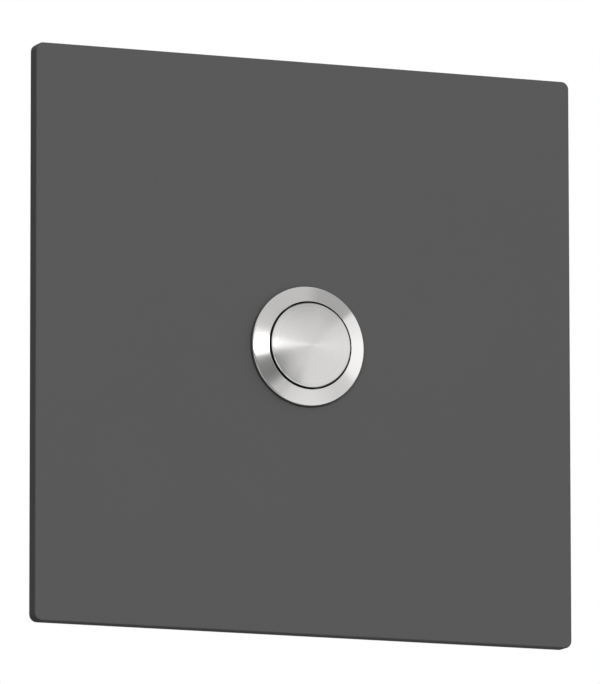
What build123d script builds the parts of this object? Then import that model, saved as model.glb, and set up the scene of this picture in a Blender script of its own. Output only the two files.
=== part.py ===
from build123d import *
import math
import os

# Doorbell push button: a square wall plate with a turned metal push switch in its middle.
# All sizes are in millimetres. Each piece is modelled lying on its back: +Z points out of
# the wall, +Y points up the wall and z = 0 is the wall. hang() then stands the piece up,
# so that its front looks along -Y and the button is pressed along +Y.

# Face plate
plate_width = 105.0
plate_height = 105.0
plate_thickness = 3.0
plate_corner_radius = 2.2
plate_edge_break = 0.3

# Studs welded to the back of the plate, for plugs in the wall
stud_diameter = 4.0
stud_length = 25.0
stud_edge_distance = 12.5

# Switch housing: head, threaded barrel and the web that carries the stem
thread_diameter = 19.0
head_diameter = 22.0
head_rim_height = 0.75
head_cone_rise = 0.85
head_edge_break = 0.3
barrel_wall = 1.7
barrel_end_chamfer = 0.6
web_thickness = 2.7
panel_hole_clearance = 0.15

# Gasket between head and plate
gasket_thickness = 0.5
gasket_setback = 0.1
gasket_bore_clearance = 0.1

# Button cap with its stem
cap_diameter = 15.45
cap_gap = 0.325
cap_proud = 0.75
cap_thickness = 4.3
cap_edge_break = 0.18
press_travel = 2.0
stop_clearance = 0.05
stem_diameter = 6.0
stem_clearance = 0.03
stem_land = 0.75
spigot_diameter = 4.0
spigot_length = 3.5

# Return spring, in a pocket under the cap
return_wire = 0.5
return_mean_diameter = 10.6
return_turns = 3
cap_pocket_depth = 2.6
pocket_clearance = 0.3

# Both springs are drawn as mitred runs of a six-sided wire
coil_steps = 12
wire_sides = 6

# Seal round the stem
seal_section = 1.0
seal_clearance = 0.05
seal_side_room = 0.15

# Clip on the stem, behind the web
clip_diameter = 11.0
clip_thickness = 0.7
clip_prong_depth = 1.3
clip_prong_width = 2.2
clip_mouth_width = 4.4
clip_groove_diameter = 5.0
clip_clearance = 0.04

# Plunger that carries the contact bridge
hub_diameter = 8.4
hub_floor = 1.0
pin_diameter = 3.0
pin_tail = 0.6
press_allowance = 0.02

# Contact bridge, its spring and its keeper
contact_wire = 0.4
contact_mean_diameter = 4.6
contact_spring_length = 3.2
contact_turns = 4
bridge_length = 10.8
bridge_width = 4.0
bridge_thickness = 0.5
bridge_corner_cut = 0.7
bridge_hole_clearance = 0.1
keeper_diameter = 5.2
keeper_thickness = 0.4

# Welded contact buttons
contact_spacing = 8.4
contact_diameter = 2.2
moving_contact_height = 0.7
fixed_contact_height = 0.6
overtravel = 0.4
contact_clearance = 0.05

# Terminals: bent brass strips
strip_thickness = 1.0
strip_width = 4.6
strip_bend_radius = 0.2
strip_slot_clearance = 0.05
leg_inset = 1.7
inner_foot_length = 3.9
outer_foot_length = 6.3
foot_corner_cut = 0.7

# Moulded base
base_clearance = 0.05
cup_wall = 0.8
cup_height = 6.8
plug_length = 3.65
flange_diameter = 17.4
flange_thickness = 2.0
barrier_thickness = 1.4
barrier_height = 4.2
barrier_end_setback = 0.5
barrier_edge_break = 0.4
rib_thickness = 1.0
rib_clearance = 0.35
rib_reach = 2.0

# Terminal screws and wire clamps
screw_diameter = 3.0
screw_length = 5.0
screw_offset = 5.0
screw_clearance = 0.05
screw_head_diameter = 5.5
screw_head_height = 2.0
screw_slot_width = 0.8
screw_slot_depth = 1.0
screw_hole_clearance = 0.25
screw_hole_room = 0.8
clamp_side = 5.4
clamp_thickness = 0.8
clamp_corner_cut = 0.6
clamp_hole_clearance = 0.15

# Lock washer and nut on the barrel
washer_diameter = 24.0
washer_thickness = 0.9
washer_rim_width = 1.3
washer_tooth_count = 12
washer_gap_width = 1.8
washer_bore_clearance = 0.2
nut_across_flats = 22.0
nut_thickness = 3.5
nut_corner_slope = 30.0
nut_clearance = 0.05

# Heights above the wall, from the plate to the cap
head_seat = plate_thickness + gasket_thickness
rim_top = head_seat + head_rim_height
lip_top = rim_top + head_cone_rise
cap_top = lip_top + cap_proud

# Heights from the cap down through the web, at rest
cap_under = cap_top - cap_thickness
spring_top = cap_under + cap_pocket_depth
web_front = cap_under - press_travel - stop_clearance
web_rear = web_front - web_thickness
seal_middle = (web_front + web_rear) / 2

# Heights along the stem, plunger and bridge, at rest
clip_front = web_rear - clip_clearance
clip_rear = clip_front - clip_thickness
stem_shoulder = clip_rear - stem_land
spigot_end = stem_shoulder - spigot_length
plunger_seat = spigot_end - hub_floor
bridge_front = plunger_seat - contact_spring_length
bridge_rear = bridge_front - bridge_thickness
keeper_rear = bridge_rear - keeper_thickness
pin_end = keeper_rear - pin_tail

# Heights from the contacts to the terminals
contact_travel = press_travel - overtravel
moving_contact_face = bridge_rear - moving_contact_height
fixed_contact_face = moving_contact_face - contact_travel - contact_clearance
inner_foot_front = fixed_contact_face - fixed_contact_height
cup_floor = inner_foot_front - strip_thickness
cup_top = cup_floor + cup_height
barrel_end = cup_floor - plug_length
base_rear = barrel_end - flange_thickness
outer_foot_rear = base_rear - strip_thickness
clamp_rear = outer_foot_rear - clamp_thickness
screw_tip = clamp_rear + screw_length

# Radii that belong to more than one piece
thread_radius = thread_diameter / 2
chamber_radius = thread_radius - barrel_wall
cap_bore_radius = cap_diameter / 2 + cap_gap
pocket_outer_radius = (return_mean_diameter + return_wire) / 2 + pocket_clearance
stem_bore_radius = stem_diameter / 2 + stem_clearance
plug_radius = chamber_radius - base_clearance
both_sides = (-1, 1)


def hang(shape):
    """Stand a piece up against the wall: what was modelled upwards faces -Y."""
    return Rot(90, 0, 0) * shape


def turned(*corners):
    """Revolve a half section, given as (radius, height) corners, about Z."""
    return revolve(Plane.XZ * make_face(Polyline(*corners, close=True)), Axis.Z)


def slab(sketch, rear, front):
    """Extrude a flat outline from one height to another."""
    return extrude(Pos(0, 0, rear) * sketch, front - rear)


def coil(mean_diameter, wire, turns, rear, front):
    """Compression spring that fills the space between two heights."""
    radius = mean_diameter / 2
    turn = math.tau / coil_steps
    rise = (front - rear - wire) / (turns * coil_steps)
    points = []
    for i in range(turns * coil_steps + 1):
        height = rear + wire / 2 + i * rise
        points.append((radius * math.cos(i * turn), radius * math.sin(i * turn), height))
    path = Polyline(*points)
    start = Plane(origin=path @ 0, x_dir=(0, 0, 1), z_dir=path % 0)
    return sweep(start * RegularPolygon(wire / 2, wire_sides), path=path, transition=Transition.RIGHT)


def cut_corners(outline, size):
    """Take the same small cut off every corner of a flat outline."""
    return chamfer(outline.vertices(), size)


def make_faceplate():
    """Plate with rounded corners, a softened front edge and the hole for the barrel."""
    plate = slab(RectangleRounded(plate_width, plate_height, plate_corner_radius), 0, plate_thickness)
    plate = chamfer(plate.faces().sort_by(Axis.Z)[-1].edges(), plate_edge_break)
    hole = slab(Circle(thread_radius + panel_hole_clearance), 0, plate_thickness)
    return plate - hole


def make_mounting_studs():
    """Studs near the corners, welded on by their ends."""
    stud = slab(Circle(stud_diameter / 2), -stud_length, 0)
    spacing_x = plate_width - 2 * stud_edge_distance
    spacing_y = plate_height - 2 * stud_edge_distance
    return Compound([place * stud for place in GridLocations(spacing_x, spacing_y, 2, 2)])


def make_panel_gasket():
    """Flat rubber ring that seals the head to the plate."""
    inner = thread_radius + gasket_bore_clearance
    outer = head_diameter / 2 - gasket_setback
    return slab(Circle(outer) - Circle(inner), plate_thickness, head_seat)


def make_button_housing():
    """Turned housing: conical head, barrel, and the web with the guide bore and its seal groove."""
    head_radius = head_diameter / 2
    head_slope = head_cone_rise / (head_radius - cap_bore_radius)
    seal_half = seal_section / 2 + seal_side_room
    seal_radius = stem_diameter / 2 + seal_section + 2 * seal_clearance
    return turned(
        (cap_bore_radius, lip_top),
        (head_radius - head_edge_break, rim_top + head_edge_break * head_slope),
        (head_radius, rim_top - head_edge_break),
        (head_radius, head_seat),
        (thread_radius, head_seat),
        (thread_radius, barrel_end + barrel_end_chamfer),
        (thread_radius - barrel_end_chamfer, barrel_end),
        (chamber_radius, barrel_end),
        (chamber_radius, web_rear),
        (stem_bore_radius, web_rear),
        (stem_bore_radius, seal_middle - seal_half),
        (seal_radius, seal_middle - seal_half),
        (seal_radius, seal_middle + seal_half),
        (stem_bore_radius, seal_middle + seal_half),
        (stem_bore_radius, web_front),
        (cap_bore_radius, web_front),
    )


def make_button_cap():
    """Flat turned cap in one piece with its stem: spring pocket, clip groove and spigot."""
    cap_radius = cap_diameter / 2
    stem_radius = stem_diameter / 2
    groove_radius = clip_groove_diameter / 2
    spigot_radius = spigot_diameter / 2
    return turned(
        (0, cap_top),
        (cap_radius - cap_edge_break, cap_top),
        (cap_radius, cap_top - cap_edge_break),
        (cap_radius, cap_under),
        (pocket_outer_radius, cap_under),
        (pocket_outer_radius, spring_top),
        (stem_radius, spring_top),
        (stem_radius, clip_front + clip_clearance),
        (groove_radius, clip_front + clip_clearance),
        (groove_radius, clip_rear - clip_clearance),
        (stem_radius, clip_rear - clip_clearance),
        (stem_radius, stem_shoulder),
        (spigot_radius, stem_shoulder),
        (spigot_radius, spigot_end),
        (0, spigot_end),
    )


def make_stem_seal():
    """Square-cut rubber ring in the groove of the web."""
    inner = stem_diameter / 2 + seal_clearance
    outline = Circle(inner + seal_section) - Circle(inner)
    return slab(outline, seal_middle - seal_section / 2, seal_middle + seal_section / 2)


def make_stem_clip():
    """E-clip: an open ring whose three prongs grip the groove of the stem."""
    grip_radius = clip_groove_diameter / 2 + clip_clearance
    relief_radius = grip_radius + clip_prong_depth
    prong = Pos(relief_radius / 2, 0) * Rectangle(relief_radius, clip_prong_width)
    prongs = [Rot(0, 0, angle) * prong for angle in (0, 180, 270)]
    mouth = Pos(0, clip_diameter / 2) * Rectangle(clip_mouth_width, clip_diameter)
    outline = Circle(clip_diameter / 2) - Circle(relief_radius) - mouth
    outline = outline + prongs - Circle(grip_radius)
    return slab(outline, clip_rear, clip_front)


def make_plunger():
    """Moulded pusher: a hub on the stem's spigot and a pin for the bridge."""
    bore = spigot_diameter / 2 + press_allowance
    pin_radius = pin_diameter / 2
    return turned(
        (bore, stem_shoulder),
        (hub_diameter / 2, stem_shoulder),
        (hub_diameter / 2, plunger_seat),
        (pin_radius, plunger_seat),
        (pin_radius, pin_end),
        (0, pin_end),
        (0, spigot_end),
        (bore, spigot_end),
    )


def make_contact_bridge():
    """Flat strip that slides on the plunger's pin."""
    outline = cut_corners(Rectangle(bridge_length, bridge_width), bridge_corner_cut)
    outline -= Circle(pin_diameter / 2 + bridge_hole_clearance)
    return slab(outline, bridge_rear, bridge_front)


def make_contacts(rear, front):
    """Pair of silver buttons, welded on where bridge and terminals meet."""
    button = slab(Circle(contact_diameter / 2), rear, front)
    return Compound([Pos(side * contact_spacing / 2, 0, 0) * button for side in both_sides])


def make_bridge_keeper():
    """Push-on washer, which holds the bridge on the pin."""
    outline = Circle(keeper_diameter / 2) - Circle(pin_diameter / 2 + press_allowance)
    return slab(outline, keeper_rear, bridge_rear)


def make_terminal(turn):
    """Bent strip: a foot on the cup's floor, a leg through the base and a tapped foot behind it."""
    half = strip_thickness / 2
    path = FilletPolyline(
        (leg_inset + inner_foot_length, cup_floor + half),
        (leg_inset + half, cup_floor + half),
        (leg_inset + half, base_rear - half),
        (leg_inset + outer_foot_length, base_rear - half),
        radius=strip_bend_radius + half,
    )
    strip = extrude(Plane.XZ * trace(path, strip_thickness), strip_width / 2, both=True)
    foot_ends = strip.edges().filter_by(Axis.Z).group_by(Axis.X)[-2:]
    strip = chamfer(foot_ends[0] + foot_ends[1], foot_corner_cut)
    tapping = Circle(screw_diameter / 2 + screw_clearance)
    strip -= Pos(screw_offset, 0) * slab(tapping, outer_foot_rear, base_rear)
    return Rot(0, 0, turn) * strip


def make_terminal_base():
    """Moulded cup, bonded into the barrel, with guide ribs inside and a barrier behind."""
    cup_radius = plug_radius - cup_wall
    base = turned(
        (0, base_rear),
        (flange_diameter / 2, base_rear),
        (flange_diameter / 2, barrel_end),
        (plug_radius, barrel_end),
        (plug_radius, cup_top),
        (cup_radius, cup_top),
        (cup_radius, cup_floor),
        (0, cup_floor),
    )
    rib_edge = bridge_width / 2 + rib_clearance
    rib = Rectangle(cup_wall + rib_reach, rib_thickness, align=Align.MIN)
    rib = Pos(cup_radius - rib_reach, rib_edge) * rib & Circle(cup_radius + cup_wall / 2)
    barrier_length = flange_diameter - 2 * barrier_end_setback
    barrier = slab(Rectangle(barrier_thickness, barrier_length), base_rear - barrier_height, base_rear)
    barrier = chamfer(barrier.faces().sort_by(Axis.Z)[0].edges().filter_by(Axis.Y), barrier_edge_break)
    base += barrier
    slot_start = leg_inset - strip_slot_clearance
    slot_length = strip_thickness + strip_bend_radius + 2 * strip_slot_clearance
    slot = Rectangle(slot_length, strip_width + 2 * strip_slot_clearance, align=(Align.MIN, Align.CENTER))
    screw_hole = Pos(screw_offset, 0) * Circle(screw_diameter / 2 + screw_hole_clearance)
    rib_rear = inner_foot_front + rib_clearance
    for turn in (0, 180):
        base -= Rot(0, 0, turn) * slab(Pos(slot_start, 0) * slot, base_rear, cup_floor)
        base -= Rot(0, 0, turn) * slab(screw_hole, base_rear, screw_tip + screw_hole_room)
        base += Rot(0, 0, turn) * slab(rib, rib_rear, cup_top)
        base += Rot(0, 0, turn) * slab(mirror(rib, Plane.XZ), rib_rear, cup_top)
    return base


def make_wire_clamps():
    """Square washers under the screw heads, which clamp the bell wires on the outer feet."""
    outline = cut_corners(Rectangle(clamp_side, clamp_side), clamp_corner_cut)
    outline -= Circle(screw_diameter / 2 + clamp_hole_clearance)
    clamp = slab(outline, clamp_rear, outer_foot_rear)
    return Compound([Pos(side * screw_offset, 0, 0) * clamp for side in both_sides])


def make_terminal_screws():
    """Slotted screws in the tapped feet of the terminals."""
    top = clamp_rear - screw_head_height
    screw = slab(Circle(screw_head_diameter / 2), top, clamp_rear)
    screw += slab(Circle(screw_diameter / 2), clamp_rear, screw_tip)
    screw -= slab(Rectangle(screw_head_diameter, screw_slot_width), top, top + screw_slot_depth)
    return Compound([Pos(side * screw_offset, 0, 0) * screw for side in both_sides])


def make_lock_washer():
    """Washer with teeth round its bore."""
    bore = thread_radius + washer_bore_clearance
    gap_depth = washer_diameter / 2 - washer_rim_width - bore
    outline = Circle(washer_diameter / 2) - Circle(bore)
    gap = Rectangle(2 * gap_depth, washer_gap_width)
    outline -= [place * gap for place in PolarLocations(bore, washer_tooth_count)]
    return slab(outline, -washer_thickness, 0)


def make_lock_nut():
    """Thin hexagon nut with its corners turned off on the outer face."""
    front = -washer_thickness
    rear = front - nut_thickness
    flat = nut_across_flats / 2
    hexagon = RegularPolygon(flat, 6, major_radius=False)
    corner = max(vertex.X for vertex in hexagon.vertices())
    drop = (corner - flat) * math.tan(math.radians(nut_corner_slope))
    bore = thread_radius + nut_clearance
    blank = turned(
        (bore, rear),
        (flat, rear),
        (corner, rear + drop),
        (corner, front),
        (bore, front),
    )
    return slab(hexagon, rear, front) & blank


pieces = {
    "faceplate": make_faceplate(),
    "mounting_studs": make_mounting_studs(),
    "panel_gasket": make_panel_gasket(),
    "button_housing": make_button_housing(),
    "button_cap": make_button_cap(),
    "stem_seal": make_stem_seal(),
    "return_spring": coil(return_mean_diameter, return_wire, return_turns, web_front, spring_top),
    "stem_clip": make_stem_clip(),
    "plunger": make_plunger(),
    "contact_spring": coil(contact_mean_diameter, contact_wire, contact_turns, bridge_front, plunger_seat),
    "contact_bridge": make_contact_bridge(),
    "bridge_contacts": make_contacts(moving_contact_face, bridge_rear),
    "bridge_keeper": make_bridge_keeper(),
    "terminal_base": make_terminal_base(),
    "left_terminal": make_terminal(180),
    "right_terminal": make_terminal(0),
    "fixed_contacts": make_contacts(inner_foot_front, fixed_contact_face),
    "wire_clamps": make_wire_clamps(),
    "terminal_screws": make_terminal_screws(),
    "lock_washer": make_lock_washer(),
    "lock_nut": make_lock_nut(),
}

os.makedirs("parts", exist_ok=True)
for name, piece in pieces.items():
    export_step(hang(piece), f"parts/{name}.step")
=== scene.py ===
import math

import bmesh
import bpy
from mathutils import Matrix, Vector


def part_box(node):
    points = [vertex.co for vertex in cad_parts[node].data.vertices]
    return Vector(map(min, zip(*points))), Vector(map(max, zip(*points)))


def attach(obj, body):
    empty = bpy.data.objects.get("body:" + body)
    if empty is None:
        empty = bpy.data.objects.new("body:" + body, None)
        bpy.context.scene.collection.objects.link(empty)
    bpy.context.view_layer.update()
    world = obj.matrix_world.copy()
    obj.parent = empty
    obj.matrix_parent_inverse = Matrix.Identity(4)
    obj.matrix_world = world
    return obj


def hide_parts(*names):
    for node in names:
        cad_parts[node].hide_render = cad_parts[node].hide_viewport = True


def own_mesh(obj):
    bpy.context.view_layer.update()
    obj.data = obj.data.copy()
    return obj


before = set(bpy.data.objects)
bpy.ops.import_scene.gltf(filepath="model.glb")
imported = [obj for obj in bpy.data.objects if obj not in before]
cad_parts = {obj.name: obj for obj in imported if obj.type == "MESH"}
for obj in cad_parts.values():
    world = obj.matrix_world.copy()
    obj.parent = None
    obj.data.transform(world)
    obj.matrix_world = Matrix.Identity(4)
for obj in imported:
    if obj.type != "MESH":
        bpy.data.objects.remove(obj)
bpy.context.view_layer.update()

# Face plate
# A square of 3 mm steel sheet, laser cut with small corner radii and a hole in the middle for the switch.
# Its front edge is rubbed soft, and the whole plate is powder coated in a matt grey, so no bare metal shows.

MM = 0.001
same_place = 0.001 * MM  # points nearer than this count as one
plate_low, plate_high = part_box("faceplate")
plate_front = plate_low.y
plate_back = plate_high.y
corner_radius = 1.4 * MM
front_edge_round = 0.3 * MM
back_edge_round = 0.12 * MM
panel_hole_radius = 9.65 * MM


def choose(piece):
    """Select one object and nothing else."""
    bpy.ops.object.select_all(action="DESELECT")
    piece.select_set(True)
    bpy.context.view_layer.objects.active = piece


def start(name):
    """Name the primitive that was just added, fix its place in its mesh and go into edit mode."""
    piece = bpy.context.active_object
    piece.name = name
    piece.data.name = name
    bpy.ops.object.transform_apply(location=True, rotation=True, scale=True)
    bpy.ops.object.mode_set(mode="EDIT")
    return piece


def pick_edges(piece, wanted):
    """In edit mode, select only the edges whose two ends pass the test."""
    bpy.ops.mesh.select_mode(type="EDGE")
    bpy.ops.mesh.select_all(action="DESELECT")
    mesh = bmesh.from_edit_mesh(piece.data)
    for edge in mesh.edges:
        edge.select_set(wanted(edge.verts[0].co, edge.verts[1].co))
    bmesh.update_edit_mesh(piece.data)


def apply_modifier(piece, kind, **settings):
    """Add a modifier to a piece and apply it."""
    choose(piece)
    modifier = piece.modifiers.new(kind, kind)
    for setting, value in settings.items():
        setattr(modifier, setting, value)
    bpy.ops.object.modifier_apply(modifier=modifier.name)


def shape_with(piece, tool, operation):
    """Cut, join or trim a piece with a second solid, which is used up."""
    apply_modifier(piece, "BOOLEAN", object=tool, operation=operation, solver="EXACT")
    bpy.data.objects.remove(tool)


def merge_points(piece, nearest=same_place):
    """Join the points that a cut or a round has left in the same place."""
    choose(piece)
    bpy.ops.object.mode_set(mode="EDIT")
    bpy.ops.mesh.select_all(action="SELECT")
    bpy.ops.mesh.remove_doubles(threshold=nearest)
    bpy.ops.mesh.dissolve_degenerate(threshold=nearest)
    bpy.ops.object.mode_set(mode="OBJECT")


def smooth(piece, crease=35):
    """Shade a piece smooth up to its creases, and keep large faces flat up to their rounded edges."""
    merge_points(piece)
    bpy.ops.object.shade_smooth_by_angle(angle=math.radians(crease))
    apply_modifier(piece, "WEIGHTED_NORMAL", mode="FACE_AREA", weight=80, keep_sharp=True)


def add_cylinder(name, radius, near, far, x=0.0, sides=96):
    """Solid round bar along the button's axis, from one depth to another."""
    bpy.ops.object.select_all(action="DESELECT")
    bpy.ops.mesh.primitive_cylinder_add(
        vertices=sides,
        radius=radius,
        depth=far - near,
        location=(x, (near + far) / 2, 0),
        rotation=(math.pi / 2, 0, 0),
    )
    piece = start(name)
    bpy.ops.object.mode_set(mode="OBJECT")
    return piece


def add_block(name, low, high):
    """Solid block between two corners."""
    bpy.ops.object.select_all(action="DESELECT")
    low, high = Vector(low), Vector(high)
    bpy.ops.mesh.primitive_cube_add(size=1, location=(low + high) / 2, scale=high - low)
    piece = start(name)
    bpy.ops.object.mode_set(mode="OBJECT")
    return piece


def round_edges(piece, wanted, size, segments):
    """Round the edges whose two ends pass the test, or cut them flat with one segment."""
    choose(piece)
    bpy.ops.object.mode_set(mode="EDIT")
    pick_edges(piece, wanted)
    bpy.ops.mesh.bevel(offset=size, segments=segments, affect="EDGES")
    bpy.ops.object.mode_set(mode="OBJECT")


plate = add_block("powder_coated_plate", plate_low, plate_high)
round_edges(plate, lambda a, b: abs(a.y - b.y) > MM, corner_radius, segments=12)
round_edges(plate, lambda a, b: max(a.y, b.y) < plate_front + same_place, front_edge_round, segments=5)
round_edges(plate, lambda a, b: min(a.y, b.y) > plate_back - same_place, back_edge_round, segments=2)
panel_hole = add_cylinder("panel_hole", panel_hole_radius, plate_front - MM, plate_back + MM)
shape_with(plate, panel_hole, "DIFFERENCE")
smooth(plate)


def linear(colour, alpha=1.0):
    """Linear colour of an sRGB hex value."""
    parts = [int(colour[i : i + 2], 16) / 255 for i in (1, 3, 5)]
    return [c / 12.92 if c <= 0.04045 else ((c + 0.055) / 1.055) ** 2.4 for c in parts] + [alpha]


def new_material(name):
    """Empty material and its surface shader."""
    material = bpy.data.materials.new(name)
    material.use_nodes = True
    return material, material.node_tree.nodes["Principled BSDF"]


def add_node(material, kind, inputs=None, **settings):
    """Add a node: its settings, and for each input a value or the output that feeds it."""
    node = material.node_tree.nodes.new(kind)
    for setting, value in settings.items():
        setattr(node, setting, value)
    for key, value in (inputs or {}).items():
        if isinstance(value, bpy.types.NodeSocket):
            material.node_tree.links.new(value, node.inputs[key])
        else:
            node.inputs[key].default_value = value
    return node


def feed(material, node, **sources):
    """Link outputs to a node's inputs, named with underscores for spaces."""
    for name, source in sources.items():
        material.node_tree.links.new(source, node.inputs[name.replace("_", " ")])


def set_inputs(node, **values):
    """Set a node's inputs, named with underscores for spaces."""
    for name, value in values.items():
        node.inputs[name.replace("_", " ")].default_value = value


def dress(piece, material, body="wall_plate", stands_for=()):
    """Give a piece its material, its body and the solids it stands for."""
    piece.data.materials.clear()
    piece.data.materials.append(material)
    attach(piece, body)
    if stands_for:
        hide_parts(*stands_for)


def mottled(name, tones, patch, roughness, grain, relief, **inputs):
    """Material whose tone and gloss drift from patch to patch, with a fine grain in relief."""
    material, shader = new_material(name)
    place = add_node(material, "ShaderNodeTexCoord").outputs["Object"]
    drift = add_node(material, "ShaderNodeTexNoise", {"Vector": place, "Scale": 1 / patch, "Detail": 3.0})
    grit = add_node(material, "ShaderNodeTexNoise", {"Vector": place, "Scale": 1 / grain, "Detail": 3.0})
    tone = add_node(
        material,
        "ShaderNodeMix",
        {"Factor": drift.outputs["Fac"], "A": linear(tones[0]), "B": linear(tones[1])},
        data_type="RGBA",
    )
    gloss = add_node(
        material,
        "ShaderNodeMapRange",
        {"Value": drift.outputs["Fac"], "To Min": roughness[0], "To Max": roughness[1]},
    )
    bump = add_node(
        material,
        "ShaderNodeBump",
        {"Height": grit.outputs["Fac"], "Strength": 0.3, "Distance": relief},
    )
    feed(
        material,
        shader,
        Base_Color=tone.outputs["Result"],
        Roughness=gloss.outputs["Result"],
        Normal=bump.outputs["Normal"],
    )
    set_inputs(shader, **inputs)
    return material


# Polyester powder coat, sprayed and baked: a dead matt grey with a very fine grain of melted powder,
# which breaks up the gloss without showing as spots. The grain is drawn a little coarser than real.
powder_coat = mottled(
    "powder_coat",
    ("#5c5c5c", "#5e5e5e"),
    patch=18 * MM,
    roughness=(0.6, 0.66),
    grain=0.35 * MM,
    relief=0.02 * MM,
    Specular_IOR_Level=0.12,
)
dress(plate, powder_coat, stands_for=["faceplate"])

# Mounting studs
# Four M4 studs of plain stainless steel with rolled threads. Each is welded to the back of the plate by its
# end, which leaves a small collar of flash at its foot, and it is pushed into a plug in the wall.

stud_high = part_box("mounting_studs")[1]
stud_end = stud_high.y
stud_radius = 2.0 * MM
stud_offset = stud_high.x - stud_radius
stud_tip_chamfer = 0.5 * MM
stud_pitch = 0.7 * MM
stud_plain_foot = 1.6 * MM
flash_radius = 2.5 * MM
flash_height = 0.45 * MM
flash_hollow = 0.3
touching = 0.0001 * MM  # as near as points may be while a piece is still being shaped


def turned(name, corners, sides=192, solid_start=False, solid_end=False):
    """Extrude a circle ring by ring through (radius, depth) corners round the button's axis."""
    bpy.ops.object.select_all(action="DESELECT")
    radius, depth = corners[0]
    bpy.ops.mesh.primitive_circle_add(
        vertices=sides,
        radius=radius,
        fill_type="TRIFAN" if solid_start else "NOTHING",
        location=(0, depth, 0),
        rotation=(math.pi / 2, 0, 0),
    )
    piece = start(name)
    pick_edges(piece, lambda a, b: abs(Vector((a.x, a.z)).length - Vector((b.x, b.z)).length) < touching)
    for next_radius, next_depth in corners[1:]:
        bpy.ops.mesh.extrude_region_move(TRANSFORM_OT_translate={"value": (0, next_depth - depth, 0)})
        ratio = next_radius / radius
        bpy.ops.transform.resize(value=(ratio, 1, ratio), center_override=(0, next_depth, 0))
        radius, depth = next_radius, next_depth
    if solid_end:
        bpy.ops.mesh.extrude_region_move()
        bpy.ops.mesh.merge(type="CENTER")
    bpy.ops.mesh.select_all(action="SELECT")
    bpy.ops.mesh.remove_doubles(threshold=touching)
    bpy.ops.mesh.normals_make_consistent(inside=False)
    bpy.ops.object.mode_set(mode="OBJECT")
    return piece


def cut_thread(piece, radius, pitch, near, far, steps):
    """Cut a 60 degree thread from one depth to another with a V-shaped helix, as a die does."""
    thread_depth = 0.61 * pitch
    tool_size = 0.55 * pitch
    bpy.ops.object.select_all(action="DESELECT")
    bpy.ops.mesh.primitive_circle_add(
        vertices=3,
        radius=tool_size,
        location=(radius - thread_depth + tool_size, near, 0),
        rotation=(0, 0, math.pi / 2),
    )
    tool = start("thread_tool")
    bpy.ops.object.mode_set(mode="OBJECT")
    turns = max(1, round((far - near) / pitch))
    apply_modifier(
        tool,
        "SCREW",
        axis="Y",
        angle=math.tau,
        screw_offset=pitch,
        iterations=turns,
        steps=steps,
        render_steps=steps,
    )
    bpy.ops.object.mode_set(mode="EDIT")
    bpy.ops.mesh.select_all(action="SELECT")
    bpy.ops.mesh.fill_holes(sides=3)
    bpy.ops.mesh.normals_make_consistent(inside=False)
    bpy.ops.object.mode_set(mode="OBJECT")
    shape_with(piece, tool, "DIFFERENCE")


def copy_at(piece, x=0.0, z=0.0, turn=0.0):
    """Copy of a piece with its own mesh, turned about the button's axis and then moved across it."""
    copy = piece.copy()
    copy.data = piece.data.copy()
    bpy.context.collection.objects.link(copy)
    copy.location = (x, 0, z)
    copy.rotation_euler = (0, turn, 0)
    choose(copy)
    bpy.ops.object.transform_apply(location=True, rotation=True, scale=False)
    return copy


def repeat_at(piece, places):
    """Replace a piece by copies at several places, each (x, z, turn), joined into one."""
    name = piece.name
    copies = [copy_at(piece, *place) for place in places]
    bpy.data.objects.remove(piece)
    for copy in copies:
        copy.select_set(True)
    bpy.ops.object.join()
    joined = bpy.context.active_object
    joined.name = name
    joined.data.name = name
    return joined


studs = turned(
    "welded_studs",
    [
        (stud_radius - stud_tip_chamfer, stud_end),
        (stud_radius, stud_end - stud_tip_chamfer),
        (stud_radius, plate_back + 2 * flash_height),
        (stud_radius + flash_hollow * (flash_radius - stud_radius), plate_back + flash_height),
        (flash_radius, plate_back + flash_hollow * flash_height),
        (flash_radius, plate_back),
    ],
    sides=48,
    solid_start=True,
    solid_end=True,
)
thread_start = plate_back + stud_plain_foot
cut_thread(studs, stud_radius, stud_pitch, thread_start, stud_end + stud_pitch, steps=24)
stud_rows = (-stud_offset, stud_offset)
studs = repeat_at(studs, [(x, z, 0) for x in stud_rows for z in stud_rows])
smooth(studs)

# Plain stainless steel with rolled threads: a soft grey shine, burnished by the dies and a little uneven.
rolled_steel = mottled(
    "rolled_stainless_steel",
    ("#b4b2ae", "#c6c4c0"),
    patch=3 * MM,
    roughness=(0.22, 0.36),
    grain=0.25 * MM,
    relief=0.006 * MM,
    Metallic=1.0,
)
dress(studs, rolled_steel, stands_for=["mounting_studs"])

# Panel gasket
# A flat ring of black rubber, punched from sheet and set back a little under the switch's head, where it
# shows only as a dark line. It keeps the rain out of the hole in the plate.


def coat_solid(name, material):
    """Give a solid that keeps its own shape its material."""
    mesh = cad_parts[name].data
    mesh.materials.clear()
    mesh.materials.append(material)


# Black nitrile rubber: a dull, slightly brownish black with a faint bloom and no clear reflections.
black_rubber = mottled(
    "nitrile_rubber",
    ("#191817", "#242322"),
    patch=2 * MM,
    roughness=(0.62, 0.8),
    grain=0.12 * MM,
    relief=0.01 * MM,
)
coat_solid("panel_gasket", black_rubber)

# Switch housing
# Turned from stainless bar: a low conical head, a barrel threaded for the panel nut, and a web inside it that
# guides the stem. The head's face keeps the rings of the lathe tool, and its straight wall is ground smooth.

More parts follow.
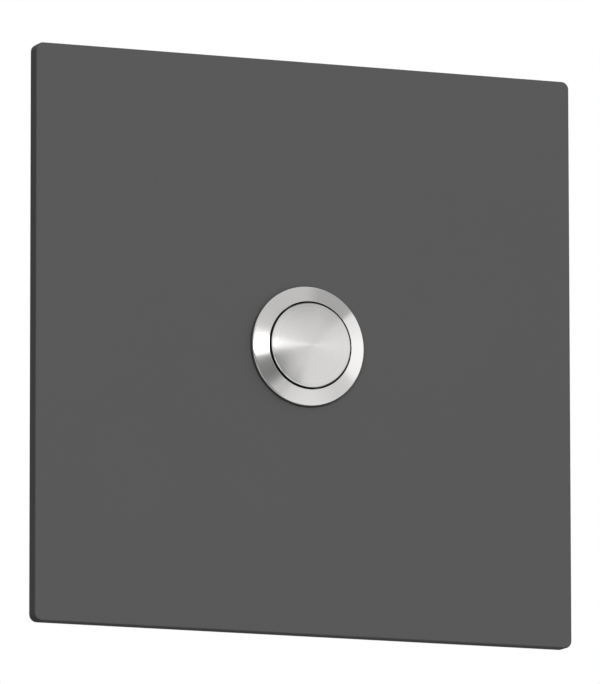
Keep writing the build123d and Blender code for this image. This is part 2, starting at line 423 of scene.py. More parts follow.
housing_low, housing_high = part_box("button_housing")
gasket_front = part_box("panel_gasket")[0].y
head_radius = housing_high.x
lip_front = housing_low.y
barrel_end = housing_high.y
rim_height = 0.75 * MM
rim_front = gasket_front - rim_height
rim_round = 0.35 * MM
small_edge_round = 0.1 * MM
bore_radius = 8.05 * MM
barrel_radius = 9.5 * MM
chamber_radius = 7.8 * MM
barrel_chamfer = 0.6 * MM
web_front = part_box("return_spring")[1].y
web_thickness = 2.7 * MM
web_back = web_front + web_thickness
stem_bore_radius = 3.03 * MM
seal_groove_radius = 4.1 * MM
seal_low, seal_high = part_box("stem_seal")
seal_side_room = 0.15 * MM
seal_groove_front = seal_low.y - seal_side_room
seal_groove_back = seal_high.y + seal_side_room
barrel_pitch = 1.0 * MM
thread_runout = 0.6 * MM


def soften(piece, size, segments=2, sharpness=35):
    """Break every sharp edge of a piece by the same small round, once points too near for it are merged."""
    merge_points(piece, size / 4)
    bpy.ops.object.mode_set(mode="EDIT")
    bpy.ops.mesh.select_mode(type="EDGE")
    bpy.ops.mesh.select_all(action="DESELECT")
    bpy.ops.mesh.edges_select_sharp(sharpness=math.radians(sharpness))
    bpy.ops.mesh.bevel(offset=size, segments=segments, affect="EDGES", clamp_overlap=True)
    bpy.ops.object.mode_set(mode="OBJECT")


housing_section = [
    (bore_radius, lip_front),
    (head_radius, rim_front),
    (head_radius, gasket_front),
    (barrel_radius, gasket_front),
    (barrel_radius, barrel_end - barrel_chamfer),
    (barrel_radius - barrel_chamfer, barrel_end),
    (chamber_radius, barrel_end),
    (chamber_radius, web_back),
    (stem_bore_radius, web_back),
    (stem_bore_radius, seal_groove_back),
    (seal_groove_radius, seal_groove_back),
    (seal_groove_radius, seal_groove_front),
    (stem_bore_radius, seal_groove_front),
    (stem_bore_radius, web_front),
    (bore_radius, web_front),
    (bore_radius, lip_front),
]
housing = turned("threaded_housing", housing_section)
round_edges(
    housing,
    lambda a, b: abs(a.y - rim_front) + abs(b.y - rim_front) < same_place and a.length > head_radius,
    rim_round,
    segments=8,
)
soften(housing, small_edge_round)
thread_start = plate_back - thread_runout
cut_thread(housing, barrel_radius, barrel_pitch, thread_start, barrel_end + barrel_pitch, steps=64)
smooth(housing)

# Turned stainless steel: a bright, slightly warm grey. The rings of the tool are too fine to see one by one,
# but they stretch every highlight across them, so a lamp shows as a wedge that points at the middle.
# Wider bands, where the tool cut a little cleaner or rougher, hardly differ in tone.
ring_spacing = 0.22 * MM
ring_relief = 0.01 * MM
rings_per_unit = 20 / math.tau  # rings of the wave node at a scale of 1
band_width = 0.5 * MM
turned_steel, shader = new_material("turned_stainless_steel")
place = add_node(turned_steel, "ShaderNodeTexCoord").outputs["Object"]
rings = add_node(
    turned_steel,
    "ShaderNodeTexWave",
    {"Vector": place, "Scale": 1 / (ring_spacing * rings_per_unit), "Distortion": 0.0, "Detail": 0.0},
    wave_type="RINGS",
    rings_direction="Y",
)
bump = add_node(
    turned_steel,
    "ShaderNodeBump",
    {"Height": rings.outputs["Fac"], "Strength": 0.05, "Distance": ring_relief},
)
flat = add_node(turned_steel, "ShaderNodeVectorMath", {0: place, 1: (1, 0, 1)}, operation="MULTIPLY")
radius = add_node(turned_steel, "ShaderNodeVectorMath", {0: flat.outputs[0]}, operation="LENGTH")
bands = add_node(
    turned_steel,
    "ShaderNodeTexNoise",
    {"W": radius.outputs["Value"], "Scale": 1 / band_width, "Detail": 2.0},
    noise_dimensions="1D",
)
tone = add_node(
    turned_steel,
    "ShaderNodeMix",
    {"Factor": bands.outputs["Fac"], "A": linear("#d3d2d1"), "B": linear("#d9d8d7")},
    data_type="RGBA",
)
gloss = add_node(
    turned_steel, "ShaderNodeMapRange", {"Value": bands.outputs["Fac"], "To Min": 0.155, "To Max": 0.165}
)
around = add_node(turned_steel, "ShaderNodeTangent", direction_type="RADIAL", axis="Y")
feed(
    turned_steel,
    shader,
    Base_Color=tone.outputs["Result"],
    Roughness=gloss.outputs["Result"],
    Normal=bump.outputs["Normal"],
    Tangent=around.outputs["Tangent"],
)
set_inputs(shader, Metallic=1.0, Anisotropic=0.78, Anisotropic_Rotation=0.25)
dress(housing, turned_steel, stands_for=["button_housing"])

# Ground stainless steel: the same metal where a wheel has taken the rings off, so it mirrors what is near.
# Its tone is painted darker than the turned face, as painted shade on the head's wall and the barrel.
ground_steel_painted_shade = mottled(
    "ground_stainless_steel_painted_shade",
    ("#a4a3a1", "#acabaa"),
    patch=2 * MM,
    roughness=(0.1, 0.15),
    grain=0.3 * MM,
    relief=0.002 * MM,
    Metallic=1.0,
)

# Painted shade in the gap: the bored walls of the narrow gap round the cap, and the cap's own walls, get a
# dark, dull steel that stands in for the shade inside the gap.
bored_steel_painted_shade = mottled(
    "bored_stainless_steel_painted_shade",
    ("#4a4948", "#525150"),
    patch=2 * MM,
    roughness=(0.35, 0.45),
    grain=0.3 * MM,
    relief=0.002 * MM,
    Metallic=1.0,
)


def finish_walls(piece, material, bores_only=False, steepest=0.35):
    """Give the walls that stand along the button's axis, or only those that look at it, another material."""
    piece.data.materials.append(material)
    choose(piece)
    bpy.ops.object.mode_set(mode="EDIT")
    bpy.ops.mesh.select_mode(type="FACE")
    bpy.ops.mesh.select_all(action="DESELECT")
    mesh = bmesh.from_edit_mesh(piece.data)
    for face in mesh.faces:
        middle = face.calc_center_median()
        outward = face.normal.x * middle.x + face.normal.z * middle.z > 0
        face.select_set(abs(face.normal.y) < steepest and not (bores_only and outward))
    bmesh.update_edit_mesh(piece.data)
    piece.active_material_index = len(piece.data.materials) - 1
    bpy.ops.object.material_slot_assign()
    bpy.ops.object.mode_set(mode="OBJECT")


# The outer walls take the ground steel, whose darker tone is painted shade on the head's wall.
finish_walls(housing, ground_steel_painted_shade)
# The bores take the dark steel, as painted shade in the gap round the cap.
finish_walls(housing, bored_steel_painted_shade, bores_only=True)

# Stem seal
# A square-cut ring of the same rubber, sliced from a moulded tube. It lies in the groove of the web and wipes
# the stem, so no water gets past it to the contacts.

coat_solid("stem_seal", black_rubber)

# Return spring
# Three turns of stainless spring wire, wound cold and held between the web and the pocket under the cap.
# It shortens as the cap goes in and pushes it out again.

spring_low, spring_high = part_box("return_spring")
return_mean_radius = 5.3 * MM
return_wire_radius = 0.25 * MM
return_turns = 3


def coil(name, mean_radius, wire_radius, near, far, turns):
    """Wind round wire into a spring that fills the space between two depths."""
    wire_sides = 14
    steps = 48
    bpy.ops.object.select_all(action="DESELECT")
    bpy.ops.mesh.primitive_circle_add(
        vertices=wire_sides,
        radius=wire_radius,
        location=(mean_radius, near + wire_radius, 0),
    )
    piece = start(name)
    bpy.ops.object.mode_set(mode="OBJECT")
    apply_modifier(
        piece,
        "SCREW",
        axis="Y",
        angle=math.tau,
        screw_offset=(far - near - 2 * wire_radius) / turns,
        iterations=turns,
        steps=steps,
        render_steps=steps,
    )
    bpy.ops.object.mode_set(mode="EDIT")
    bpy.ops.mesh.select_all(action="SELECT")
    bpy.ops.mesh.fill_holes(sides=wire_sides)
    bpy.ops.mesh.normals_make_consistent(inside=False)
    bpy.ops.object.mode_set(mode="OBJECT")
    smooth(piece)
    return piece


# Drawn spring steel: a darker grey than the turned pieces, with a satin shine from the die.
spring_steel = mottled(
    "drawn_spring_steel",
    ("#a2a2a2", "#b6b6b4"),
    patch=1.5 * MM,
    roughness=(0.24, 0.38),
    grain=0.15 * MM,
    relief=0.004 * MM,
    Metallic=1.0,
)
return_spring = coil(
    "return_spring_wire",
    return_mean_radius,
    return_wire_radius,
    spring_low.y,
    spring_high.y,
    return_turns,
)
dress(return_spring, spring_steel, stands_for=["return_spring"])
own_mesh(return_spring)

# Button cap
# Turned from the same bar in one piece with its stem, which slides in the web. The face is slightly crowned,
# so its wedges of light are brighter towards the rim, and the edge is broken where the finger slides over it.

cap_low, cap_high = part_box("button_cap")
cap_front = cap_low.y
cap_radius = cap_high.x
stem_end = cap_high.y
cap_crown = 0.35 * MM
crown_rings = 10
cap_edge_break = 0.15 * MM
cap_depth = 4.3 * MM
cap_back = cap_front + cap_depth
pocket_depth = 2.6 * MM
pocket_floor = cap_back - pocket_depth
pocket_radius = 5.85 * MM
stem_radius = 3.0 * MM
clip_low, clip_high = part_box("stem_clip")
clip_groove_radius = 2.5 * MM
clip_clearance = 0.04 * MM
spigot_radius = 2.0 * MM
spigot_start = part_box("plunger")[0].y

crown = [i / crown_rings for i in range(1, crown_rings + 1)]
cap_section = [(cap_radius * share, cap_front + cap_crown * share**2) for share in crown] + [
    (cap_radius, cap_back),
    (pocket_radius, cap_back),
    (pocket_radius, pocket_floor),
    (stem_radius, pocket_floor),
    (stem_radius, clip_low.y - clip_clearance),
    (clip_groove_radius, clip_low.y - clip_clearance),
    (clip_groove_radius, clip_high.y + clip_clearance),
    (stem_radius, clip_high.y + clip_clearance),
    (stem_radius, spigot_start),
    (spigot_radius, spigot_start),
    (spigot_radius, stem_end),
]
cap = turned("crowned_cap", cap_section, solid_start=True, solid_end=True)
soften(cap, cap_edge_break, segments=1)
smooth(cap)
dress(cap, turned_steel, "button", ["button_cap"])
# The cap's walls take the same dark steel, as painted shade in the gap round the cap.
finish_walls(cap, bored_steel_painted_shade)

# Stem clip
# An E-clip stamped from spring steel and hardened. It snaps into the stem's groove behind the web and stops
# the cap from coming out at the front.

coat_solid("stem_clip", spring_steel)

# Plunger
# Moulded in white acetal and pressed on to the stem's spigot. Its pin carries the bridge, and keeps the steel
# stem apart from the live contacts.

plunger_low, plunger_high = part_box("plunger")
hub_radius = plunger_high.x
hub_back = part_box("contact_spring")[0].y
pin_radius = 1.5 * MM
plunger_bore_radius = 2.02 * MM
plunger_edge_round = 0.15 * MM
plunger = turned(
    "acetal_plunger",
    [
        (plunger_bore_radius, stem_end),
        (plunger_bore_radius, plunger_low.y),
        (hub_radius, plunger_low.y),
        (hub_radius, hub_back),
        (pin_radius, hub_back),
        (pin_radius, plunger_high.y),
    ],
    sides=64,
    solid_start=True,
    solid_end=True,
)
soften(plunger, plunger_edge_round)
smooth(plunger)

# Natural acetal: a milky, waxy white, smooth from the mould, with a soft shine.
white_acetal = mottled(
    "moulded_acetal",
    ("#e2e2dd", "#eaeae6"),
    patch=4 * MM,
    roughness=(0.34, 0.44),
    grain=0.2 * MM,
    relief=0.004 * MM,
    Subsurface_Weight=0.08,
    Subsurface_Scale=1 * MM,
)
dress(plunger, white_acetal, "button", ["plunger"])

# Contact spring
# A short spring of thinner stainless wire on the plunger's pin. It presses the bridge on to the fixed contacts
# over the last of the cap's travel.

contact_low, contact_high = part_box("contact_spring")
contact_mean_radius = 2.3 * MM
contact_wire_radius = 0.2 * MM
contact_turns = 4
contact_spring = coil(
    "contact_spring_wire",
    contact_mean_radius,
    contact_wire_radius,
    contact_low.y,
    contact_high.y,
    contact_turns,
)
dress(contact_spring, spring_steel, "button", ["contact_spring"])
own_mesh(contact_spring)

# Contact bridge
# A strip stamped from phosphor bronze, free to slide on the plunger's pin, with the push-on washer of spring
# steel that keeps it there.

# Rolled phosphor bronze: a pinkish brown metal with a bright mill finish.
rolled_bronze = mottled(
    "rolled_phosphor_bronze",
    ("#c2966e", "#d0a880"),
    patch=3 * MM,
    roughness=(0.24, 0.34),
    grain=0.2 * MM,
    relief=0.004 * MM,
    Metallic=1.0,
)
coat_solid("contact_bridge", rolled_bronze)
coat_solid("bridge_keeper", spring_steel)

# Contacts
# Buttons of fine silver with slightly domed faces, headed from wire. One pair is welded to the bridge, and the
# other to the terminals' inner feet.

contact_spacing = 4.2 * MM
contact_radius = 1.1 * MM
contact_dome = 0.14 * MM
contact_profile = [(1.0, 1.0), (0.8, 0.45), (0.45, 0.1), (0.1, 0.0)]  # shares of radius and dome

# Fine silver: almost white, soft, and a little dulled by handling.
contact_silver = mottled(
    "fine_silver",
    ("#dcdad4", "#efeeea"),
    patch=0.8 * MM,
    roughness=(0.22, 0.36),
    grain=0.1 * MM,
    relief=0.004 * MM,
    Metallic=1.0,
)


def weld_contacts(name, seat, face, body, node):
    """Pair of contacts from their welded seat to their domed face, left and right of the button's axis."""
    dome = contact_dome if face > seat else -contact_dome
    domed_face = [(r * contact_radius, face - h * dome) for r, h in contact_profile]
    pair = turned(name, [(contact_radius, seat)] + domed_face, sides=48, solid_start=True, solid_end=True)
    pair = repeat_at(pair, [(-contact_spacing, 0, 0), (contact_spacing, 0, 0)])
    smooth(pair)
    dress(pair, contact_silver, body, [node])


moving_low, moving_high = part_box("bridge_contacts")
fixed_low, fixed_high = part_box("fixed_contacts")
weld_contacts("moving_contact_pair", moving_low.y, moving_high.y, "bridge", "bridge_contacts")
weld_contacts("fixed_contact_pair", fixed_high.y, fixed_low.y, "wall_plate", "fixed_contacts")

# Terminal base
# Moulded in black nylon and bonded into the barrel's end. Its cup guides the bridge between four ribs, its
# floor carries the terminals, and a barrier behind keeps the two bell wires apart.

base_low, base_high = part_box("terminal_base")
terminal_low, terminal_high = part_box("right_terminal")
strip_thickness = 1.0 * MM
cup_front = base_low.y
cup_floor = terminal_low.y + strip_thickness
flange_back = terminal_high.y - strip_thickness
barrier_end = base_high.y
flange_radius = base_high.x
plug_radius = 7.75 * MM
cup_radius = 6.95 * MM
barrier_half = 0.7 * MM
barrier_inset = 0.5 * MM
barrier_reach = flange_radius - barrier_inset
rib_inner = 4.95 * MM
rib_outer = 7.35 * MM
rib_edge = 2.35 * MM
rib_thickness = 1.0 * MM
rib_clearance = 0.35 * MM
rib_back = terminal_low.y - rib_clearance
strip_half_width = terminal_high.z
leg_inner = terminal_low.x
slot_clearance = 0.05 * MM
slot_bend_room = 0.25 * MM
slot_outer = leg_inner + strip_thickness + slot_bend_room
screw_offset = 5.0 * MM
screw_hole_radius = 1.75 * MM
screw_hole_room = 0.8 * MM
screw_hole_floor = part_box("terminal_screws")[0].y - screw_hole_room
moulded_round = 0.2 * MM

base = turned(
    "moulded_base",
    [
        (cup_radius, cup_floor),
        (cup_radius, cup_front),
        (plug_radius, cup_front),
        (plug_radius, barrel_end),
        (flange_radius, barrel_end),
        (flange_radius, flange_back),
    ],
    sides=128,
    solid_start=True,
    solid_end=True,
)
soften(base, moulded_round, segments=3)
barrier = add_block(
    "barrier",
    (-barrier_half, flange_back - strip_thickness, -barrier_reach),
    (barrier_half, barrier_end, barrier_reach),
)
round_edges(barrier, lambda a, b: True, 2 * moulded_round, segments=4)
shape_with(base, barrier, "UNION")
for side in (-1, 1):
    slot_near, slot_far = sorted((side * leg_inner, side * slot_outer))
    slot = add_block(
        "leg_slot",
        (slot_near - slot_clearance, cup_floor - MM, -strip_half_width),
        (slot_far + slot_clearance, flange_back + MM, strip_half_width),
    )
    shape_with(base, slot, "DIFFERENCE")
    hole_x = side * screw_offset
    hole = add_cylinder("screw_hole", screw_hole_radius, screw_hole_floor, flange_back + MM, hole_x, sides=48)
    shape_with(base, hole, "DIFFERENCE")
    rib_near, rib_far = sorted((side * rib_inner, side * rib_outer))
    for edge in (-rib_edge - rib_thickness, rib_edge):
        rib = add_block("rib", (rib_near, cup_front, edge), (rib_far, rib_back, edge + rib_thickness))
        round_edges(rib, lambda a, b: abs(a.y - b.y) > MM, moulded_round, segments=3)
        shape_with(rib, add_cylinder("rib_trim", rib_outer, cup_front - MM, rib_back + MM), "INTERSECT")
        shape_with(base, rib, "UNION")
smooth(base)

# Glass-filled nylon: a dull black that shows a faint grey grain where the fibres reach the skin.
black_nylon = mottled(
    "glass_filled_nylon",
    ("#1d1d1e", "#2a2a2b"),
    patch=1.2 * MM,
    roughness=(0.46, 0.6),
    grain=0.16 * MM,
    relief=0.012 * MM,
)
dress(base, black_nylon, stands_for=["terminal_base"])

# Terminals
# Two strips of brass, bent twice to a bracket: a foot on the cup's floor, a leg through its slot and a tapped
# foot behind the base, with the corners of both feet cut off.

bend_radius = 0.2 * MM
foot_corner_cut = 0.7 * MM
inner_foot_length = 3.9 * MM
inner_foot_end = leg_inner + inner_foot_length
tapped_hole_radius = 1.55 * MM
edge_burr_round = 0.08 * MM
bend_steps = 6
bend_start = leg_inner + strip_thickness + bend_radius

right_terminal = add_block(
    "right_brass_terminal",
    (bend_start, terminal_low.y, terminal_low.z),
    (inner_foot_end, cup_floor, terminal_high.z),
)
choose(right_terminal)
bpy.ops.object.mode_set(mode="EDIT")
bpy.ops.mesh.select_mode(type="FACE")
bpy.ops.mesh.select_all(action="DESELECT")
strip_mesh = bmesh.from_edit_mesh(right_terminal.data)
for face in strip_mesh.faces:
    face.select_set(face.normal.x < -0.9)
bmesh.update_edit_mesh(right_terminal.data)
first_bend = cup_floor + bend_radius
second_bend = flange_back - bend_radius
bpy.ops.mesh.spin(steps=bend_steps, angle=math.pi / 2, center=(bend_start, first_bend, 0), axis=(0, 0, -1))
bpy.ops.mesh.extrude_region_move(TRANSFORM_OT_translate={"value": (0, second_bend - first_bend, 0)})
bpy.ops.mesh.spin(steps=bend_steps, angle=math.pi / 2, center=(bend_start, second_bend, 0), axis=(0, 0, -1))
bpy.ops.mesh.extrude_region_move(TRANSFORM_OT_translate={"value": (terminal_high.x - bend_start, 0, 0)})
bpy.ops.mesh.select_all(action="SELECT")
bpy.ops.mesh.remove_doubles(threshold=touching)
bpy.ops.mesh.normals_make_consistent(inside=False)
bpy.ops.object.mode_set(mode="OBJECT")
foot_ends = (inner_foot_end, terminal_high.x)


def at_foot_end(a, b):
    """Whether an edge runs through the strip's thickness at the end of a foot."""
    off_end = min(abs(a.x - end) + abs(b.x - end) for end in foot_ends)
    return abs(a.y - b.y) > 0.9 * strip_thickness and off_end < same_place


round_edges(right_terminal, at_foot_end, foot_corner_cut, segments=1)
tapping_end = terminal_high.y + MM
tapping = add_cylinder("tapping", tapped_hole_radius, flange_back - MM, tapping_end, screw_offset, sides=48)
shape_with(right_terminal, tapping, "DIFFERENCE")
soften(right_terminal, edge_burr_round)
left_terminal = copy_at(right_terminal, turn=math.pi)
left_terminal.name = "left_brass_terminal"
smooth(right_terminal)
smooth(left_terminal)

# Rolled brass strip: a clear yellow metal, satin from the rolls and a little browner where it was handled.
rolled_brass = mottled(
    "rolled_brass",
    ("#c3a052", "#d8bc74"),
    patch=2.5 * MM,
    roughness=(0.22, 0.36),
    grain=0.2 * MM,
    relief=0.005 * MM,
    Metallic=1.0,
)
dress(right_terminal, rolled_brass, stands_for=["right_terminal"])
dress(left_terminal, rolled_brass, stands_for=["left_terminal"])

# Wire clamps
# Square washers of zinc-plated steel with their corners cut off. A bell wire goes under each, and the screw
# presses it on to the terminal's foot.

clamp_low, clamp_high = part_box("wire_clamps")
clamp_half = clamp_high.z
clamp_corner_cut = 0.6 * MM
clamp_hole_radius = 1.65 * MM
clamps = add_block(
    "wire_clamp_plates",
    (-clamp_half, clamp_low.y, -clamp_half),
    (clamp_half, clamp_high.y, clamp_half),
)
round_edges(clamps, lambda a, b: abs(a.y - b.y) > 0.5 * MM, clamp_corner_cut, segments=1)
clamp_hole = add_cylinder("clamp_hole", clamp_hole_radius, clamp_low.y - MM, clamp_high.y + MM, sides=48)
shape_with(clamps, clamp_hole, "DIFFERENCE")
soften(clamps, small_edge_round)
clamps = repeat_at(clamps, [(-screw_offset, 0, 0), (screw_offset, 0, 0)])
smooth(clamps)

# Bright zinc plate, blue passivated: a cool grey shine that clouds from patch to patch.
zinc_plate = mottled(
    "bright_zinc_plate",
    ("#b4b9bc", "#cfd2d3"),
    patch=1.6 * MM,
    roughness=(0.2, 0.38),
    grain=0.18 * MM,
    relief=0.005 * MM,
    Metallic=1.0,
)
dress(clamps, zinc_plate, stands_for=["wire_clamps"])

# Terminal screws
# M3 slotted pan head screws of zinc-plated steel in the tapped feet. The heads are cold formed and then slotted
# with a saw, and the two are left at different angles, as a screwdriver leaves them.

screw_low, screw_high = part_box("terminal_screws")
screw_top = screw_high.y
screw_tip = screw_low.y
head_seat = clamp_high.y
screw_radius = 1.5 * MM
screw_pitch = 0.5 * MM
tip_chamfer = 0.3 * MM
screw_head_radius = 2.75 * MM
screw_head_dome = 0.5 * MM
screw_head_profile = [(0.55, 0.0), (0.8, 0.2), (0.94, 0.5), (1.0, 1.0)]  # shares of radius and dome
slot_half_width = 0.4 * MM
slot_depth = 1.0 * MM
screw_edge_round = 0.06 * MM
left_screw_turn = math.radians(24)
right_screw_turn = math.radians(-38)
domed_head = [(r * screw_head_radius, screw_top - h * screw_head_dome) for r, h in screw_head_profile]
screws = turned(
    "slotted_screws",
    domed_head
    + [
        (screw_head_radius, head_seat),
        (screw_radius, head_seat),
        (screw_radius, screw_tip + tip_chamfer),
        (screw_radius - tip_chamfer, screw_tip),
    ],
    sides=64,
    solid_start=True,
    solid_end=True,
)
saw_cut = add_block(
    "saw_cut",
    (-2 * screw_head_radius, screw_top - slot_depth, -slot_half_width),
    (2 * screw_head_radius, screw_top + MM, slot_half_width),
)
shape_with(screws, saw_cut, "DIFFERENCE")
soften(screws, screw_edge_round)
cut_thread(screws, screw_radius, screw_pitch, screw_tip - screw_pitch, head_seat - screw_pitch, steps=24)
screws = repeat_at(screws, [(-screw_offset, 0, left_screw_turn), (screw_offset, 0, right_screw_turn)])
smooth(screws)
dress(screws, zinc_plate, stands_for=["terminal_screws"])

# Lock washer
# A stamped washer of zinc-plated spring steel with teeth round its bore. It lies between plate and nut, and its
# teeth keep the nut from working loose.

washer_low, washer_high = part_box("lock_washer")
washer_radius = washer_high.x
washer_bore = 9.7 * MM
tooth_root = 10.7 * MM
tooth_count = 12
gap_half = 0.9 * MM
washer = turned(
    "toothed_washer",
    [
        (washer_bore, washer_low.y),
        (washer_radius, washer_low.y),
        (washer_radius, washer_high.y),
        (washer_bore, washer_high.y),
        (washer_bore, washer_low.y),
    ],
)
gaps = add_block(
    "tooth_gaps",
    (washer_bore - MM, washer_low.y - MM, -gap_half),
    (tooth_root, washer_high.y + MM, gap_half),
)
gaps = repeat_at(gaps, [(0, 0, math.tau * i / tooth_count) for i in range(tooth_count)])
shape_with(washer, gaps, "DIFFERENCE")
soften(washer, small_edge_round)
smooth(washer)
dress(washer, zinc_plate, stands_for=["lock_washer"])

# Lock nut
# A thin hexagon nut of nickel-plated brass, turned off at an angle on its outer face and chamfered in its bore.
# It pulls the switch's head and gasket against the plate.

nut_low, nut_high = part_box("lock_nut")
nut_corner = nut_high.x
nut_flat = nut_high.z
nut_bore = 9.55 * MM
bore_chamfer = 0.4 * MM
turning_angle = math.radians(30)
corner_drop = (nut_corner - nut_flat) * math.tan(turning_angle)
bpy.ops.object.select_all(action="DESELECT")
bpy.ops.mesh.primitive_cylinder_add(
    vertices=6,
    radius=nut_corner,
    depth=nut_high.y - nut_low.y,
    location=(0, (nut_low.y + nut_high.y) / 2, 0),
    rotation=(math.pi / 2, math.pi / 6, 0),
)
nut = start("hexagon_nut")
bpy.ops.object.mode_set(mode="OBJECT")
blank = turned(
    "nut_blank",
    [
        (nut_bore, nut_low.y - MM),
        (nut_bore, nut_high.y - bore_chamfer),
        (nut_bore + bore_chamfer, nut_high.y),
        (nut_flat, nut_high.y),
        (nut_corner, nut_high.y - corner_drop),
        (nut_corner + MM, nut_high.y - corner_drop),
        (nut_corner + MM, nut_low.y - MM),
        (nut_bore, nut_low.y - MM),
    ],
)
shape_with(nut, blank, "INTERSECT")
soften(nut, small_edge_round)
smooth(nut)

# Nickel plate on brass: a warm, yellowish silver with a soft shine from the tumbled blank.
nickel_plate = mottled(
    "nickel_plated_brass",
    ("#bdb8aa", "#d0ccc0"),
    patch=4 * MM,
    roughness=(0.2, 0.32),
    grain=0.25 * MM,
    relief=0.005 * MM,
    Metallic=1.0,
)
dress(nut, nickel_plate, stands_for=["lock_nut"])

# Floor and light
# A pale floor, soft lamps in front, to the right, below and behind, and a white room with a greyer ceiling.
# The metal mirrors them. Plain cards shade it, one strip softens the main lamp's upper edge, and two flags,
# which metal doesn't show, keep the room's light off the plate's left and lower edges.

floor_height = -1.3
floor_size = 14
floor_white = 0.8
room_fill = 0.44
ceiling_start = 0.2
ceiling_end = 0.36


def show_white(material, lit, strength):
    """Share of plain white for rays that see a surface or the room directly, mirrored or through glass."""
    seen = add_node(material, "ShaderNodeLightPath")
    direct = seen.outputs["Is Camera Ray"]
    for kind in ("Is Glossy Ray", "Is Transmission Ray"):
        direct = add_node(
            material, "ShaderNodeMath", {0: direct, 1: seen.outputs[kind]}, operation="MAXIMUM"
        ).outputs[0]
    return add_node(
        material, "ShaderNodeMapRange", {"Value": direct, "To Min": lit, "To Max": strength}
    ).outputs["Result"]


bpy.ops.object.select_all(action="DESELECT")
bpy.ops.mesh.primitive_plane_add(size=floor_size, location=(0, 0, floor_height))
floor = bpy.context.active_object
floor.name = "floor"
pale_floor, shader = new_material("pale_floor")
set_inputs(shader, Base_Color=linear("#f4f4f2"), Roughness=0.9)
white = add_node(pale_floor, "ShaderNodeEmission", {"Color": linear("#ffffff"), "Strength": 1.0})
mixed = add_node(
    pale_floor,
    "ShaderNodeMixShader",
    {0: show_white(pale_floor, 0.0, floor_white), 1: shader.outputs[0], 2: white.outputs[0]},
)
feed(pale_floor, pale_floor.node_tree.nodes["Material Output"], Surface=mixed.outputs[0])
floor.data.materials.append(pale_floor)

world = bpy.data.worlds.new("white_room")
bpy.context.scene.world = world
world.use_nodes = True
backdrop = world.node_tree.nodes["Background"]
heading = add_node(world, "ShaderNodeTexCoord").outputs["Generated"]
height = add_node(world, "ShaderNodeSeparateXYZ", {0: heading}).outputs["Z"]
ceiling = add_node(
    world,
    "ShaderNodeMapRange",
    {"Value": height, "From Min": ceiling_start, "From Max": ceiling_end},
)
wall_to_ceiling = add_node(
    world,
    "ShaderNodeMix",
    {"Factor": ceiling.outputs["Result"], "A": linear("#ffffff"), "B": linear("#e5e5e5")},
    data_type="RGBA",
)
feed(
    world,
    backdrop,
    Color=wall_to_ceiling.outputs["Result"],
    Strength=show_white(world, room_fill, 1.0),
)


def aim(direction, distance, tilt):
    """Place in a direction from the button, and the turn that looks back at it, tilted in degrees."""
    place = Vector(direction).normalized() * distance
    turn = (-place).to_track_quat("-Z", "Y").to_euler()
    turn.rotate_axis("Z", math.radians(tilt))
    return {"location": place, "rotation": turn}


def add_softbox(name, direction, distance, width, height, power, tilt=0):
    """Rectangular lamp that looks at the button, unseen by the camera itself."""
    bpy.ops.object.light_add(type="AREA", **aim(direction, distance, tilt))
    lamp = bpy.context.active_object
    lamp.name = name
    lamp.data.shape = "RECTANGLE"
    lamp.data.size = width
    lamp.data.size_y = height
    lamp.data.energy = power
    lamp.visible_camera = False


def add_card(name, direction, distance, width, height, grey, tilt=0, mirrored=True, glow=1.0):
    """Card of one even grey, which only the object sees, and metal only if it is mirrored."""
    bpy.ops.object.select_all(action="DESELECT")
    bpy.ops.mesh.primitive_plane_add(size=1, **aim(direction, distance, tilt))
    card = bpy.context.active_object
    card.name = name
    card.scale = (width, height, 1)
    card.visible_camera = False
    card.visible_shadow = False
    card.visible_glossy = mirrored
    material = new_material(name)[0]
    even = add_node(material, "ShaderNodeEmission", {"Color": linear(grey), "Strength": glow})
    feed(material, material.node_tree.nodes["Material Output"], Surface=even.outputs[0])
    card.data.materials.append(material)


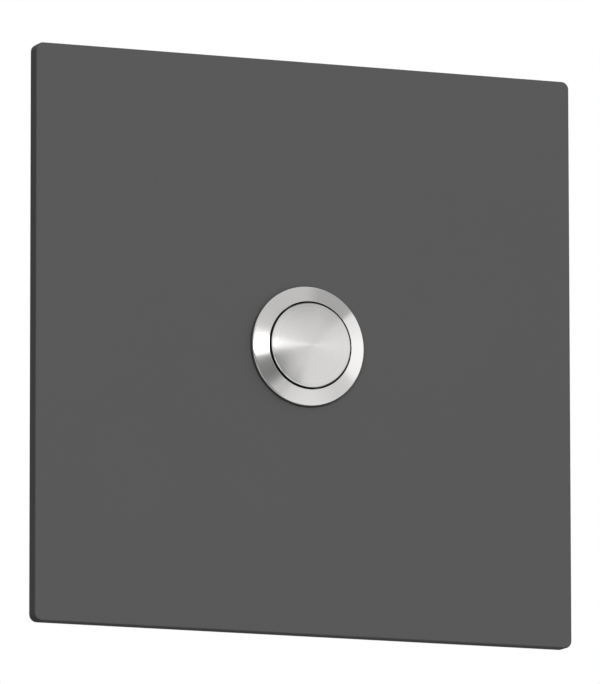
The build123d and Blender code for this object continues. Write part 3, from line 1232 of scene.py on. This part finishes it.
# Each has its direction from the button, its distance, width and height, and then its watts or its grey.
add_softbox("key_softbox", (-0.326, -0.9391, 0.109), 3.0, 2.34, 0.245, 52, tilt=10.5)
add_softbox("right_softbox", (0.88, -0.42, 0.2), 2.0, 1.2, 1.3, 1.95)
add_softbox("low_softbox", (0.35, -0.75, -0.5), 1.2, 0.8, 0.5, 0.3)
add_softbox("rear_softbox", (0.3, 0.9, 0.4), 1.6, 1.2, 1.2, 22)
add_card("key_edge_card", (-0.3371, -0.9203, 0.1983), 3.01, 2.34, 0.31, "#ffffff", tilt=10.5, glow=1.08)
add_card("camera_card", (-0.255, -0.955, -0.14), 1.2, 0.83, 0.4, "#969696", tilt=11)
add_card("tripod_card", (0.122, -0.99, 0.007), 1.1, 0.33, 0.22, "#383838", tilt=11)
add_card("tripod_foot_card", (0.22, -0.97, -0.12), 1.1, 0.22, 0.26, "#383838")
add_card("lower_left_card", (-0.45, -0.68, -0.58), 1.3, 1.1, 0.85, "#8a8a8a", tilt=11)
add_card("left_card", (-0.8, -0.6, -0.05), 1.2, 0.7, 0.7, "#606060")
add_card("top_card", (0.24, -0.888, 0.4), 1.5, 0.5, 0.3, "#b2b2b2")
add_card("upper_right_card", (0.606, -0.588, 0.556), 1.6, 1.4, 0.56, "#c4c4c4", tilt=25)
add_card("rear_card", (0.0, 1.0, 0.0), 0.9, 1.4, 1.2, "#606060")
add_card("left_flag", (-1.0, 0.3, -0.05), 1.45, 4.6, 5.0, "#101010", mirrored=False)
add_card("floor_flag", (0.0, 0.2, -1.0), 0.6, 2.6, 2.6, "#202020", mirrored=False)

# Camera
# A long lens, a little to the left of the plate and below it, as in the photograph. It looks slightly past the
# middle of the plate, so that the plate sits in the frame as it does there.

face_centre = Vector((0, plate_front, 0))
plate_side = plate_high.x - plate_low.x
azimuth = math.radians(-22.74)
elevation = math.radians(-9.12)
roll = math.radians(-0.08)
camera_distance = 17.26 * plate_side
focal_length = 526.6
sensor_width = 36
sideways = -0.0104 * plate_side
upwards = 0.0085 * plate_side
back = Vector(
    (
        math.sin(azimuth) * math.cos(elevation),
        -math.cos(azimuth) * math.cos(elevation),
        math.sin(elevation),
    )
)
turn = (-back).to_track_quat("-Z", "Y")
right = turn @ Vector((1, 0, 0))
up = turn @ Vector((0, 1, 0))
place = face_centre + back * camera_distance + right * sideways + up * upwards
bpy.ops.object.camera_add(location=place, rotation=turn.to_euler())
camera = bpy.context.active_object
camera.rotation_euler.rotate_axis("Z", roll)
camera.data.lens = focal_length
camera.data.sensor_width = sensor_width
camera.data.clip_end = 100
bpy.context.scene.camera = camera
bpy.context.scene.view_settings.view_transform = "Standard"
